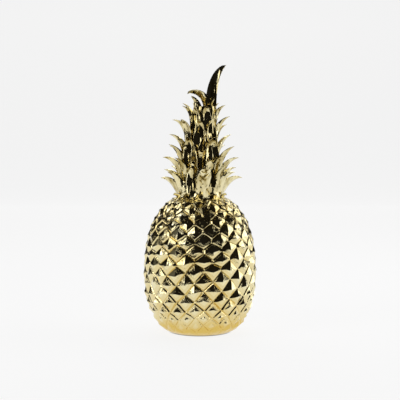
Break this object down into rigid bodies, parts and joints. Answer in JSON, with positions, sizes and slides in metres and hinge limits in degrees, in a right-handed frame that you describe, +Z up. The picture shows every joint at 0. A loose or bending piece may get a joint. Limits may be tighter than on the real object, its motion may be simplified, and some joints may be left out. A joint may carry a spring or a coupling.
{
  "type": "porcelain pineapple ornament",
  "caption": "Decorative pineapple in gold glazed porcelain: a body carved with diamond eyes on a flat foot, under a crown of channelled leaves with one tall curved leaf.",
  "frame": {"origin": "on the axis of the round body, in the plane of the ring that it stands on", "axes": "+Z up along the body's axis, the front seen in the picture faces -Y, and the tall leaf leans towards +X"},
  "size_m": [0.1366, 0.1366, 0.3182],
  "materials": {
    "gold_porcelain": "mirror-bright pale gold lustre fired over a smooth glaze, warmer where it pools in folds"
  },
  "bodies": {
    "root": {"pineapple": "gold_porcelain"}
  },
  "joints": []
}
